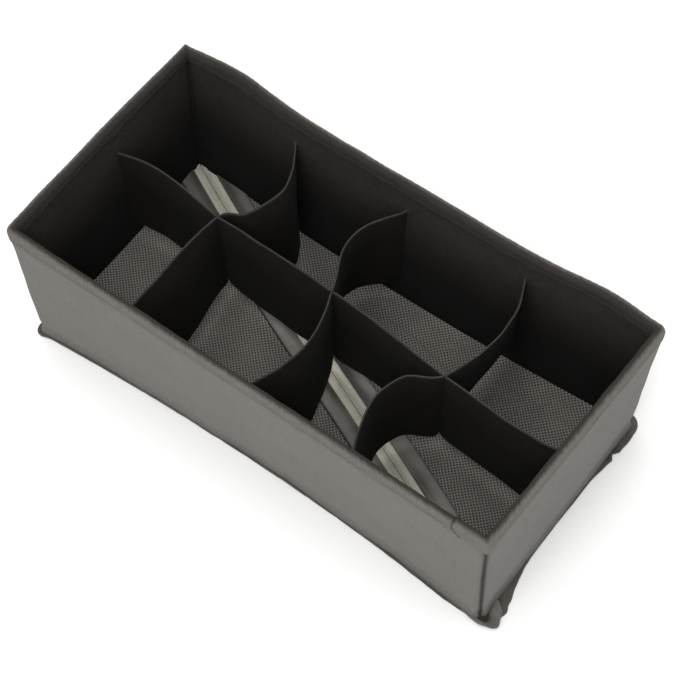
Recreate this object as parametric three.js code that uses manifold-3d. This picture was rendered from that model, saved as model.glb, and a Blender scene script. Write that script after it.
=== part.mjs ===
// Open-top fabric drawer organiser with eight compartments.
//
// Four board-stiffened walls stand on a sewn bottom seam. The floor is cut in two along its diagonal
// by a zip, so with the zip open the walls fold flat as a parallelogram and the two floor halves
// crease at 45 degrees and hang down. Three cross dividers are half-lapped into one long divider.
//
// Frame: millimetres, +X right along the long front wall, +Y towards the back wall, +Z up.
// The origin is at the middle of the underside.

import * as THREE from "three";
import { mergeVertices } from "three/addons/utils/BufferGeometryUtils.js";
import Module from "manifold-3d";

// ---- driving dimensions ----
const LENGTH = 350; // over the rim, along X
const WIDTH = 168; // over the rim, along Y
const HEIGHT = 120; // underside to rim
const GAP = 0.3; // clearance between pieces that touch

const HEM = 0.8; // binding folded over the rim
const HEM_DROP = 9; // how far the binding reaches down each face
const OUTER = 1.0; // outer panel
const BOARD = 1.4; // stiffener
const LINING = 0.8; // inner panel

const SEAM_THICK = 1.6; // bottom seam allowance
const SEAM_REACH = 5; // how far it stands out beyond the rim

const FLOOR_Z = 6; // underside of the floor fabric
const FLOOR_THICK = 1.2;
const ZIP_HALF_OPENING = 6.5; // floor edge to zip centre line
const FACING_WIDTH = 14; // smooth strip sewn along each side of the zip
const FACING_THICK = 0.6;
const TAPE_FROM = 0.6; // tape edges, measured from the zip centre line
const TAPE_TO = 13;
const TAPE_THICK = 0.8;
const COIL_FROM = 0.8;
const COIL_TO = 2.8;
const COIL_THICK = 1.5;
const STOP_FROM_CORNER = 24; // stops, measured along the zip from the floor corner
const STOP_LENGTH = 2.5;
const SLIDER_FROM_CORNER = 34; // slider middle, zip closed
const PULL_LENGTH = 16;
const PULL_WIDTH = 5;
const PULL_THICK = 0.8;

const DIVIDER_THICK = 1.2;
const DIVIDER_BOTTOM = 21;
const DIVIDER_TOP = 96;
const DIVIDER_STEPS = 28; // straight stretches along each divider

// ---- derived places ----
const OUTER_FROM = HEM + GAP; // depths into the wall, from the rim's outer face
const BOARD_FROM = OUTER_FROM + OUTER + GAP;
const LINING_FROM = BOARD_FROM + BOARD + GAP;
const LINING_TO = LINING_FROM + LINING;
const WALL = LINING_TO + GAP + HEM;
const STACK_BOTTOM = SEAM_THICK + GAP;
const STACK_TOP = HEIGHT - HEM - GAP;
const HINGE_X = LENGTH / 2 - WALL; // the fold lines of walls and floor meet at this corner
const HINGE_Y = WIDTH / 2 - WALL;
const INNER_X = LENGTH / 2 - LINING_TO;
const INNER_Y = WIDTH / 2 - LINING_TO;
const TAPE_Z = FLOOR_Z - GAP - TAPE_THICK;
const COIL_Z = TAPE_Z - GAP - COIL_THICK;
const FACING_Z = FLOOR_Z + FLOOR_THICK + GAP;
const ZIP_ANGLE = Math.atan2(HINGE_Y, HINGE_X);
const ZIP_HALF_LENGTH = Math.hypot(HINGE_X, HINGE_Y);
const DIVIDER_MIDDLE = (DIVIDER_BOTTOM + DIVIDER_TOP) / 2;

const DIVIDER_END_GAP = 0.8; // leaves room for an end that meets its wall at a slant
const END_X = INNER_X - DIVIDER_END_GAP;
const END_Y = INNER_Y - DIVIDER_END_GAP;

// Plan curves of the dividers, as the soft fabric bows between its seams.
const LONG_ROUTE = [
  [-END_X, 9], [-110, 8.5], [-57, 7.5], [-1, 6.5], [31, 5], [60, 1], [86, -1.5], [130, -2.5],
  [END_X, -3.5],
];
const CROSS_ROUTES = {
  left: [[-84, END_Y], [-73, 61], [-69, 43], [-76, 20], [-89, 8.2], [-91, -38], [-90, -END_Y]],
  middle: [[1, END_Y], [-12, 57], [-13, 35], [-1, 6.5], [8, -27], [6, -53], [-3, -END_Y]],
  right: [
    [86, END_Y], [94, 58], [95, 32], [86, -1.5], [68, -16], [62, -37], [68, -60],
    [77, -END_Y],
  ],
};

// ---- materials ----
const finish = (color, roughness, metalness = 0) => ({ color, roughness, metalness });
const FINISHES = {
  outer: finish(0x7b7873, 0.92),
  lining: finish(0x302c29, 0.95),
  hem: finish(0x2d2926, 0.95),
  board: finish(0x9a7d57, 0.9),
  floor: finish(0x46423e, 0.95),
  facing: finish(0x45413d, 0.7),
  divider: finish(0x171615, 0.95),
  tape: finish(0xa89f8c, 0.8),
  coil: finish(0xb8b09c, 0.45),
  metal: finish(0x8c8a86, 0.35, 0.9),
};

// ---- solids ----
const wasm = await Module();
wasm.setup();

function toSolid(geometry) {
  const bare = geometry.clone();
  bare.deleteAttribute("normal");
  bare.deleteAttribute("uv");
  const merged = mergeVertices(bare, 1e-4);
  return new wasm.Manifold(
    new wasm.Mesh({
      numProp: 3,
      vertProperties: merged.attributes.position.array,
      triVerts: new Uint32Array(merged.index.array),
    }),
  );
}

function toGeometry(solid) {
  const { vertProperties, triVerts } = solid.getMesh();
  return new THREE.BufferGeometry()
    .setAttribute("position", new THREE.BufferAttribute(vertProperties, 3))
    .setIndex(new THREE.BufferAttribute(triVerts, 1));
}

// A plan outline, given as [x, y] pairs, raised from z = low to z = high.
function slab(outline, low, high) {
  const shape = new THREE.Shape(outline.map(([x, y]) => new THREE.Vector2(x, y)));
  const geometry = new THREE.ExtrudeGeometry(shape, { depth: high - low, bevelEnabled: false });
  return toSolid(geometry.translate(0, 0, low));
}

function block(sizeX, sizeY, sizeZ, x, y, z) {
  return toSolid(new THREE.BoxGeometry(sizeX, sizeY, sizeZ).translate(x, y, z));
}

const group = new THREE.Group();

function place(name, solid, finishName, parent = group) {
  const geometry = toGeometry(solid);
  geometry.computeVertexNormals();
  const mesh = new THREE.Mesh(geometry, new THREE.MeshStandardMaterial(FINISHES[finishName]));
  mesh.name = name;
  parent.add(mesh);
  return mesh;
}

// ---- walls ----
// A wall is drawn lying along its own X with its outer face at y = 0 and its inside towards +Y.
// Its ends are mitred at 45 degrees, so each corner can open or close about a vertical line.
function wallLayer(wallLength, from, to, low, high) {
  const at = (depth) => wallLength / 2 - depth - GAP / 2;
  return slab([[-at(from), from], [at(from), from], [at(to), to], [-at(to), to]], low, high);
}

function rimHem(wallLength) {
  const low = HEIGHT - HEM_DROP;
  return wallLayer(wallLength, 0, HEM, low, HEIGHT)
    .add(wallLayer(wallLength, 0, WALL, HEIGHT - HEM, HEIGHT))
    .add(wallLayer(wallLength, WALL - HEM, WALL, low, HEIGHT));
}

// The seam allowance is square-ended outside the wall and mitred under it.
function bottomSeam(wallLength) {
  const end = wallLength / 2 - GAP / 2;
  const inner = end - LINING_TO;
  return slab(
    [[-end, -SEAM_REACH], [end, -SEAM_REACH], [end, 0], [inner, LINING_TO], [-inner, LINING_TO], [-end, 0]],
    0,
    SEAM_THICK,
  );
}

function addWall(name, wallLength, distance, turn) {
  const wall = new THREE.Group();
  wall.rotation.z = turn;
  wall.position.set(distance * Math.sin(turn), -distance * Math.cos(turn), 0);
  group.add(wall);
  const layer = (from, thick) => wallLayer(wallLength, from, from + thick, STACK_BOTTOM, STACK_TOP);
  place(`${name}_outer_panel`, layer(OUTER_FROM, OUTER), "outer", wall);
  place(`${name}_stiffener_board`, layer(BOARD_FROM, BOARD), "board", wall);
  place(`${name}_lining`, layer(LINING_FROM, LINING), "lining", wall);
  place(`${name}_rim_hem`, rimHem(wallLength), "hem", wall);
  place(`${name}_bottom_seam`, bottomSeam(wallLength), "outer", wall);
}

addWall("front", LENGTH, WIDTH / 2, 0);
addWall("right", WIDTH, LENGTH / 2, Math.PI / 2);
addWall("back", LENGTH, WIDTH / 2, Math.PI);
addWall("left", WIDTH, LENGTH / 2, -Math.PI / 2);

// ---- floor and zip ----
// The zip runs from the back left floor corner to the front right one. The half of the floor in
// front of it creases at 45 degrees from the front left corner into a front and a left flap. The
// half behind it is the same shape turned by half a turn.
const creaseRun = (2 * HINGE_X * 2 * HINGE_Y) / (2 * HINGE_X + 2 * HINGE_Y);
const creaseEnd = [-HINGE_X + creaseRun, -HINGE_Y + creaseRun];
const edgeX = INNER_X - GAP;
const edgeY = INNER_Y - GAP;
const REGIONS = {
  front: [[-edgeX + GAP, -edgeY], [edgeX, -edgeY], [creaseEnd[0] + GAP / 2, creaseEnd[1] - GAP / 2]],
  left: [[-edgeX, -edgeY + GAP], [creaseEnd[0] - GAP / 2, creaseEnd[1] + GAP / 2], [-edgeX, edgeY]],
};
const OPPOSITE = { front: "back", left: "right" };

// A strip beside the zip, between two distances from its centre line, on the front side of it.
// start and end are measured along the zip from the front right corner.
function zipStrip(from, to, low, high, start = 0, end = 2 * ZIP_HALF_LENGTH) {
  const strip = new THREE.BoxGeometry(end - start, to - from, high - low)
    .translate(ZIP_HALF_LENGTH - (start + end) / 2, -(from + to) / 2, (low + high) / 2)
    .rotateZ(-ZIP_ANGLE);
  return toSolid(strip);
}

const halfTurn = (solid) => toSolid(toGeometry(solid).rotateZ(Math.PI));

for (const [side, region] of Object.entries(REGIONS)) {
  const within = slab(region, 0, HEIGHT);
  const coilEnd = STOP_FROM_CORNER + STOP_LENGTH + GAP;
  const coilFar = 2 * ZIP_HALF_LENGTH - coilEnd;
  const farEdge = LENGTH; // wide enough to take in the whole region
  const pieces = {
    floor_panel: [zipStrip(ZIP_HALF_OPENING, farEdge, FLOOR_Z, FLOOR_Z + FLOOR_THICK), "floor"],
    zip_facing: [
      zipStrip(ZIP_HALF_OPENING, ZIP_HALF_OPENING + FACING_WIDTH, FACING_Z, FACING_Z + FACING_THICK),
      "facing",
    ],
    zip_tape: [zipStrip(TAPE_FROM, TAPE_TO, TAPE_Z, TAPE_Z + TAPE_THICK), "tape"],
    zip_coil: [zipStrip(COIL_FROM, COIL_TO, COIL_Z, COIL_Z + COIL_THICK, coilEnd, coilFar), "coil"],
  };
  for (const [piece, [solid, finishName]] of Object.entries(pieces)) {
    const cut = solid.intersect(within);
    place(`${side}_${piece}`, cut, finishName);
    place(`${OPPOSITE[side]}_${piece}`, halfTurn(cut), finishName);
  }
}

// Metal stops: one on each tape at the front right end, and one across both at the back left end.
const stopEnd = STOP_FROM_CORNER + STOP_LENGTH;
const topStop = zipStrip(COIL_FROM, COIL_TO, COIL_Z, COIL_Z + COIL_THICK, STOP_FROM_CORNER, stopEnd);
place("zip_top_stop_front", topStop, "metal");
place(
  "zip_top_stop_right",
  zipStrip(-COIL_TO, -COIL_FROM, COIL_Z, COIL_Z + COIL_THICK, STOP_FROM_CORNER, stopEnd),
  "metal",
);
place(
  "zip_bottom_stop",
  zipStrip(
    -COIL_TO,
    COIL_TO,
    COIL_Z,
    COIL_Z + COIL_THICK,
    2 * ZIP_HALF_LENGTH - stopEnd,
    2 * ZIP_HALF_LENGTH - STOP_FROM_CORNER,
  ),
  "metal",
);

// ---- slider and pull ----
// Drawn along +X, which points along the zip towards the back left end, then turned into place.
const PLATE_LENGTH = 12;
const PLATE_WIDTH = 9;
const PLATE_THICK = 0.9;
const UPPER_PLATE_Z = TAPE_Z + TAPE_THICK + GAP;
const LOWER_PLATE_Z = COIL_Z - 0.4 - PLATE_THICK;
const FLANGE_THICK = 0.9;
const POST_WIDTH = 0.7;
const PIN_RADIUS = 0.4;
const PIN_X = PLATE_LENGTH / 2 + 1.6;
const PIN_Z = 1.8;
const EAR_INNER = 1.7; // ears carry the pin on both sides of the pull's eye
const EAR_THICK = 0.7;
const EYE_RADIUS = 0.9;
const EYE_HOLE = 0.5;

const rod = (radius, length, sides) => new THREE.CylinderGeometry(radius, radius, length, sides);

function sliderBody() {
  const upperMiddle = UPPER_PLATE_Z + PLATE_THICK / 2;
  const lowerMiddle = LOWER_PLATE_Z + PLATE_THICK / 2;
  const lowerTop = LOWER_PLATE_Z + PLATE_THICK;
  const flangeTop = TAPE_Z - 0.4;
  const flangeMiddle = (lowerTop + flangeTop) / 2;
  const overlap = 0.1; // joined pieces run into each other
  const upper = block(PLATE_LENGTH, PLATE_WIDTH, PLATE_THICK, 0, 0, upperMiddle);
  const lower = block(PLATE_LENGTH, PLATE_WIDTH, PLATE_THICK, 0, 0, lowerMiddle);
  const postHeight = UPPER_PLATE_Z - lowerTop + 2 * overlap;
  const post = block(3, POST_WIDTH, postHeight, 1.5 - PLATE_LENGTH / 2, 0, (UPPER_PLATE_Z + lowerTop) / 2);
  let body = upper.add(lower).add(post);
  for (const side of [-1, 1]) {
    const flangeY = side * (PLATE_WIDTH / 2 - FLANGE_THICK / 2);
    const flangeHeight = flangeTop - lowerTop + 2 * overlap;
    body = body.add(block(PLATE_LENGTH, FLANGE_THICK, flangeHeight, 0, flangeY, flangeMiddle - overlap));
    const earY = side * (EAR_INNER + EAR_THICK / 2);
    const earLength = PIN_X + 1 - (PLATE_LENGTH / 2 - 1);
    body = body.add(
      block(earLength, EAR_THICK, 1.6, PLATE_LENGTH / 2 - 1 + earLength / 2, earY, PIN_Z + 0.1),
    );
  }
  const pin = rod(PIN_RADIUS, 2 * EAR_INNER + EAR_THICK, 12).translate(PIN_X, 0, PIN_Z);
  return body.add(toSolid(pin));
}

function pullTab() {
  const eye = toSolid(rod(EYE_RADIUS, 2 * (EAR_INNER - GAP), 16).translate(PIN_X, 0, PIN_Z));
  const neck = block(4, 2 * (EAR_INNER - GAP), PULL_THICK, PIN_X + 2, 0, PIN_Z - 0.3);
  const tabShape = new THREE.Shape();
  const half = PULL_WIDTH / 2;
  tabShape.moveTo(0, -half);
  tabShape.lineTo(PULL_LENGTH - half, -half);
  tabShape.absarc(PULL_LENGTH - half, 0, half, -Math.PI / 2, Math.PI / 2, false);
  tabShape.lineTo(0, half);
  tabShape.closePath();
  const tab = new THREE.ExtrudeGeometry(tabShape, { depth: PULL_THICK, bevelEnabled: false, curveSegments: 8 });
  tab.translate(PIN_X + 3, 0, PIN_Z - 0.3 - PULL_THICK / 2);
  const hole = toSolid(rod(EYE_HOLE, PULL_WIDTH, 16).translate(PIN_X, 0, PIN_Z));
  return eye.add(neck).add(toSolid(tab)).subtract(hole);
}

const sliderPlace = new THREE.Group();
sliderPlace.rotation.z = Math.PI - ZIP_ANGLE;
const sliderOut = ZIP_HALF_LENGTH - SLIDER_FROM_CORNER;
sliderPlace.position.set(sliderOut * Math.cos(ZIP_ANGLE), -sliderOut * Math.sin(ZIP_ANGLE), 0);
group.add(sliderPlace);
place("zip_slider", sliderBody(), "metal", sliderPlace);
place("zip_pull", pullTab(), "metal", sliderPlace);

// ---- dividers ----
// A band of even thickness standing on a curve through the route's points.
function band(route, thick, low, high) {
  const curve = new THREE.SplineCurve(route.map(([x, y]) => new THREE.Vector2(x, y)));
  const sides = [1, -1].map((side) =>
    Array.from({ length: DIVIDER_STEPS + 1 }, (_, step) => {
      const point = curve.getPoint(step / DIVIDER_STEPS);
      const along = curve.getTangent(step / DIVIDER_STEPS);
      const out = (side * thick) / 2;
      return [point.x + out * along.y, point.y - out * along.x];
    }),
  );
  return slab([...sides[0], ...sides[1].reverse()], low, high);
}

// Half-laps: cross dividers are slotted from below, the long divider from above.
const slotThick = DIVIDER_THICK + 2 * GAP;
const longSlot = band(LONG_ROUTE, slotThick, DIVIDER_BOTTOM - 1, DIVIDER_MIDDLE + GAP);
let longDivider = band(LONG_ROUTE, DIVIDER_THICK, DIVIDER_BOTTOM, DIVIDER_TOP);
for (const [side, route] of Object.entries(CROSS_ROUTES)) {
  const divider = band(route, DIVIDER_THICK, DIVIDER_BOTTOM, DIVIDER_TOP).subtract(longSlot);
  place(`${side}_cross_divider`, divider, "divider");
  longDivider = longDivider.subtract(band(route, slotThick, DIVIDER_MIDDLE, DIVIDER_TOP + 1));
}
place("long_divider", longDivider, "divider");

export default group;
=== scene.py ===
import math

import bmesh
import bpy
import numpy as np
from mathutils import Matrix, Vector, noise


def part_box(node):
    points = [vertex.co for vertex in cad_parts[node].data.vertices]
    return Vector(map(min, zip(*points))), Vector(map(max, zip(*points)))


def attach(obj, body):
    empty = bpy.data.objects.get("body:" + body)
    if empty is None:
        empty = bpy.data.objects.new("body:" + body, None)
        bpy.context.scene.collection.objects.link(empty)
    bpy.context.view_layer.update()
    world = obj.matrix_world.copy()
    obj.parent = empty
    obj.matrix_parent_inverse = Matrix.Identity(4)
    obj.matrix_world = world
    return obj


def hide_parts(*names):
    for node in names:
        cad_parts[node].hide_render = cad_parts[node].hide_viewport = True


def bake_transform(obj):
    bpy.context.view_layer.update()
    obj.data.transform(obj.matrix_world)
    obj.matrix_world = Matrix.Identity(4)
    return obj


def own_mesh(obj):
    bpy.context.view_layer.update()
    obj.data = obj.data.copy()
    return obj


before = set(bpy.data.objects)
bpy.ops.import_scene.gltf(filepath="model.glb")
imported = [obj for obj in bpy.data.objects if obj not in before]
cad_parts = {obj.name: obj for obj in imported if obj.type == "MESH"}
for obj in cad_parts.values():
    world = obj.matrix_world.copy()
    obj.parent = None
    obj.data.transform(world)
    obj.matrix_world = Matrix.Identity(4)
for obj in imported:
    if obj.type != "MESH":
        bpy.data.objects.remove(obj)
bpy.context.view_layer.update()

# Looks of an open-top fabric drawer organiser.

MM = 0.001


# ---- sizes from the frame (mm)
def box_mm(node):
    low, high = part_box(node)
    return np.array(low) / MM, np.array(high) / MM


def levels(node):
    """Lowest and highest level of a CAD node."""
    low, high = box_mm(node)
    return low[2], high[2]


RIM_X = -box_mm("left_rim_hem")[0][0]
RIM_Y = -box_mm("front_rim_hem")[0][1]
HEM_LOW, TOP = levels("front_rim_hem")
WALL = box_mm("front_rim_hem")[1][1] + RIM_Y
LINING_TO = box_mm("front_lining")[1][1] + RIM_Y
LINING_LOW = levels("front_lining")[0]
BOARD_DEPTH = sum(corner[1] for corner in box_mm("front_stiffener_board")) / 2 + RIM_Y
FLOOR_Z = sum(levels("front_floor_panel")) / 2
FACING_Z, FACING_HIGH = sum(levels("front_zip_facing")) / 2, levels("front_zip_facing")[1]
TAPE_Z = sum(levels("front_zip_tape")) / 2
COIL_LOW, COIL_HIGH = levels("front_zip_coil")
DIVIDER_LOW, DIVIDER_HIGH = levels("long_divider")

HINGE_X, HINGE_Y = RIM_X - WALL, RIM_Y - WALL  # where the fold lines of two walls and the floor meet
ZIP_HALF = math.hypot(HINGE_X, HINGE_Y)
ZIP_U = np.array([-HINGE_X, HINGE_Y]) / ZIP_HALF  # along the zip, towards the back left corner
ZIP_V = np.array([-HINGE_Y, -HINGE_X]) / ZIP_HALF  # away from the zip, towards the front left corner
ZIP_ANGLE = math.atan2(HINGE_Y, HINGE_X)

CORNER_R = 5.0  # the folded corners, front left and back right, at the rim's outer face
ROLL_R = 1.7  # the outer cloth's roll at a sewn corner
OUTER_DEPTH, OUTER_THICK = 1.1, 1.0
LINING_THICK = HEM_THICK = 0.8
OVERLAP_THICK = BACKING_THICK = FACING_THICK = 0.6
DIVIDER_THICK = FLANGE_THICK = 1.2
BOARD_THICK, FLOOR_THICK, TAPE_THICK = 1.4, 1.0, 0.5
STITCH_Z = 113.3  # the level of the hem's stitches
ZIP_OPENING = 6.5  # half the gap between the two floor edges
FACING_TO = 18.5  # the facing's far edge, from the zip's middle line
TAPE_FROM, TAPE_TO = 0.35, 13.0  # the tape's two edges, from the same line

# The soft box isn't quite square: how far its four corners stand from the frame's, at the base
# and at the rim, as (x, y) for front left, front right, back right and back left.
BASE_SHIFT = {(-1, -1): (0.0, -2.4), (1, -1): (-3.0, 1.8), (1, 1): (-0.5, -0.8), (-1, 1): (-0.6, -2.6)}
RIM_SHIFT = {(-1, -1): (-3.0, -2.2), (1, -1): (-1.2, -1.0), (1, 1): (5.4, 5.0), (-1, 1): (-2.9, 3.9)}
# How far the middle of each wall bows out from the line between its corners, at the base and the rim.
BASE_BOW = {"front": -7.4, "right": 0.0, "back": -7.0, "left": -2.5}
RIM_BOW = {"front": 0.0, "right": 0.0, "back": -1.8, "left": 1.6}
# The back rim leans out again near both of its corners: how far, where and how widely, the last
# two as shares of half the length.
RIM_FLARE, FLARE_AT, FLARE_WIDTH = 3.4, 0.76, 0.17

# Plan routes of the dividers' top edges, as their fabric bows between the seams, and how far the
# bottom edge hangs from under each of those points.
END_X, END_Y = 169.3, 78.3
LONG_ROUTE = [
    (-END_X, 9), (-146, 13), (-118, 12), (-91, 8.2), (-57, 7.5), (-1, 6.5), (31, 5), (60, 1),
    (86, -1.5), (130, -5.5), (END_X, -4.5),
]
LONG_LEAN = [(0, 0), (0, -2), (0, -2), (0, 1), (0, -2), (0, -3), (0, -1), (0, 0), (0, -2), (0, -1), (0, -8)]
CROSS_ROUTES = {
    "left": [(-84, END_Y), (-73, 61), (-69, 43), (-76, 20), (-89, 8.2), (-91, -38), (-90, -END_Y)],
    "middle": [(1, END_Y), (-12, 57), (-13, 35), (-1, 6.5), (8, -27), (6, -53), (-3, -END_Y)],
    "right": [(86, END_Y), (94, 58), (95, 32), (86, -1.5), (68, -16), (62, -37), (68, -60), (77, -END_Y)],
}
CROSS_LEANS = {
    "left": [(0, 0), (4, 0), (7, 0), (5, 0), (0, 1), (8, 0), (9, 0)],
    "middle": [(0, 0), (-7, 0), (-7, 0), (0, -3), (3, 0), (11, 0), (9, 0)],
    "right": [(0, 0), (-9, 0), (-11, 0), (0, -2), (0, -2.4), (0, 0), (0, 0), (0, 0)],
}


def rough(points, size, seed):
    """Smooth noise from about -1 to 1 at each point, with bumps about size mm across."""
    flat = points.reshape(-1, points.shape[-1]) / size
    if flat.shape[1] == 2:
        flat = np.column_stack([flat, np.zeros(len(flat))])
    values = [noise.noise(Vector(p) + Vector((seed * 7.31, seed * 3.17, seed * 1.73))) for p in flat]
    return np.array(values).reshape(points.shape[:-1]) * 1.6


def smooth(low, high, value):
    t = np.clip((np.asarray(value, float) - low) / (high - low), 0, 1)
    return t * t * (3 - 2 * t)


def bump(value, middle, width):
    return np.exp(-(((np.asarray(value, float) - middle) / width) ** 2))


def spline(points, parameters):
    """Uniform Catmull-Rom curve through the points, at parameters from 0 to 1."""
    pts = np.array(points, float)
    last = len(pts) - 1
    where = np.asarray(parameters, float) * last
    i = np.minimum(where.astype(int), last - 1)
    t = (where - i)[:, None]
    p0, p1 = pts[np.maximum(i - 1, 0)], pts[i]
    p2, p3 = pts[i + 1], pts[np.minimum(i + 2, last)]
    v0, v1 = (p2 - p0) / 2, (p3 - p1) / 2
    return (2 * p1 - 2 * p2 + v0 + v1) * t**3 + (-3 * p1 + 3 * p2 - 2 * v0 - v1) * t**2 + v0 * t + p1


def lengths(line):
    """Distance run along a line of points, at each of them."""
    return np.concatenate([[0], np.cumsum(np.linalg.norm(np.diff(line, axis=0), axis=1))])


def plan_normals(line):
    """Unit normals of a plan line. On a half's line, which runs clockwise, they point out of the box."""
    tangent = np.gradient(line, axis=0)
    normal = np.column_stack([-tangent[:, 1], tangent[:, 0]])
    return normal / np.linalg.norm(normal, axis=1, keepdims=True)


def warp(points):
    """Moves rest points as the soft box stands: each corner by its shift, each wall by its bow, and all
    between in proportion."""
    x, y, z = points[..., 0] / RIM_X, points[..., 1] / RIM_Y, np.clip(points[..., 2] / TOP, 0, 1)
    moved = points.copy()
    for (sx, sy), base in BASE_SHIFT.items():
        share = (1 + sx * x) * (1 + sy * y) / 4
        rim = RIM_SHIFT[(sx, sy)]
        for axis in (0, 1):
            moved[..., axis] += share * (base[axis] * (1 - z) + rim[axis] * z)
    for side, base in BASE_BOW.items():
        axis, sign = {"front": (1, -1), "right": (0, 1), "back": (1, 1), "left": (0, -1)}[side]
        out, along = (y, x) if axis == 1 else (x, y)
        share = np.clip(1 - along**2, 0, 1) * np.clip((1 + sign * out) / 2, 0, 1)
        moved[..., axis] += sign * share * (base * (1 - z) + RIM_BOW[side] * z)
    flare = bump(np.abs(x), FLARE_AT, FLARE_WIDTH) * np.clip(y, 0, 1) * z**2
    moved[..., 1] += RIM_FLARE * flare
    moved[..., 2] += 0.5 * RIM_FLARE * flare * smooth(0.5, 1, z)
    return moved


# ---- meshes
SHARP_ANGLE = math.radians(40)  # edges that turn by more are shaded sharp
HALF_TURN = np.array([-1.0, -1.0, 1.0])  # times a point: the point turned by half round the box's middle
THREAD_END = 0.55  # a tube's radius at its two ends, as a share


def make_object(name, vertices, faces, material, tones=None):
    mesh = bpy.data.meshes.new(name)
    mesh.from_pydata((np.asarray(vertices, float) * MM).tolist(), [], faces)
    mesh.polygons.foreach_set("use_smooth", [True] * len(mesh.polygons))
    mesh.set_sharp_from_angle(angle=SHARP_ANGLE)
    if tones is not None:
        attribute = mesh.attributes.new("tone", "FLOAT", "POINT")
        attribute.data.foreach_set("value", np.asarray(tones, np.float32).ravel())
    mesh.materials.append(material)
    obj = bpy.data.objects.new(name, mesh)
    bpy.context.scene.collection.objects.link(obj)
    return obj


def grid_normals(grid):
    a = np.gradient(grid, axis=0)
    b = np.gradient(grid, axis=1)
    n = np.cross(a, b)
    return n / np.maximum(np.linalg.norm(n, axis=2, keepdims=True), 1e-9)


def sheet_object(name, grid, thick, material, keep=None, tone=None, half_turn=False):
    """A closed sheet of cloth round a grid of middle points (rows, columns, 3). keep says which cells
    are there, and thick may be one number or one for each point."""
    if half_turn:
        grid = grid * HALF_TURN
    grid = warp(grid)
    rows, cols, _ = grid.shape
    half = grid_normals(grid) * (np.broadcast_to(thick, (rows, cols)) / 2)[..., None]
    vertices = np.concatenate([(grid + half).reshape(-1, 3), (grid - half).reshape(-1, 3)])
    below = rows * cols
    keep = np.ones((rows - 1, cols - 1), bool) if keep is None else keep
    padded = np.pad(keep, 1)
    faces = []
    for i, j in zip(*np.nonzero(keep)):
        a, b, c, d = i * cols + j, (i + 1) * cols + j, (i + 1) * cols + j + 1, i * cols + j + 1
        faces.append((a, b, c, d))
        faces.append((below + d, below + c, below + b, below + a))
        sides = ((a, b, padded[i + 1, j]), (b, c, padded[i + 2, j + 1]))
        sides += ((c, d, padded[i + 1, j + 2]), (d, a, padded[i, j + 1]))
        for p, q, joined in sides:
            if not joined:
                faces.append((q, p, below + p, below + q))
    tones = None if tone is None else np.concatenate([np.ravel(tone), np.ravel(tone)])
    obj = make_object(name, vertices, [tuple(int(v) for v in f) for f in faces], material, tones=tones)
    drop_loose(obj.data)
    return obj


def drop_loose(mesh):
    """Deletes vertices that no face uses."""
    used = np.zeros(len(mesh.vertices), bool)
    for polygon in mesh.polygons:
        used[list(polygon.vertices)] = True
    if used.all():
        return
    work = bmesh.new()
    work.from_mesh(mesh)
    bmesh.ops.delete(work, geom=[v for v in work.verts if not v.link_faces], context="VERTS")
    work.to_mesh(mesh)
    work.free()


def tube_arrays(line, radius, sides=6):
    """Vertices and faces of a closed tube along a line of points, with rounded-off ends."""
    line = np.asarray(line, float)
    along = np.gradient(line, axis=0)
    along /= np.linalg.norm(along, axis=1, keepdims=True)
    up = np.array([0.0, 0.0, 1.0]) if abs(along[0][2]) < 0.9 else np.array([1.0, 0.0, 0.0])
    side = np.cross(along, up)
    side /= np.linalg.norm(side, axis=1, keepdims=True)
    other = np.cross(side, along)
    radii = np.full(len(line), radius)
    radii[[0, -1]] *= THREAD_END
    angle = np.linspace(0, 2 * math.pi, sides, endpoint=False)
    ring = side[:, None] * np.cos(angle)[None, :, None] + other[:, None] * np.sin(angle)[None, :, None]
    vertices = (line[:, None] + ring * radii[:, None, None]).reshape(-1, 3)
    faces = []
    for i in range(len(line) - 1):
        for j in range(sides):
            k = (j + 1) % sides
            faces.append((i * sides + j, i * sides + k, (i + 1) * sides + k, (i + 1) * sides + j))
    faces.append(tuple(range(sides))[::-1])
    faces.append(tuple((len(line) - 1) * sides + j for j in range(sides)))
    return vertices, faces


def tubes_object(name, lines, radius, material, sides=6, half_turn=False):
    """One object made of a tube round each line."""
    vertices, faces, count = [], [], 0
    for line in lines:
        v, f = tube_arrays(line, radius, sides)
        vertices.append(v)
        faces += [tuple(i + count for i in face) for face in f]
        count += len(v)
    stacked = np.concatenate(vertices)
    if half_turn:
        stacked = stacked * HALF_TURN
    return make_object(name, warp(stacked), faces, material)


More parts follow.
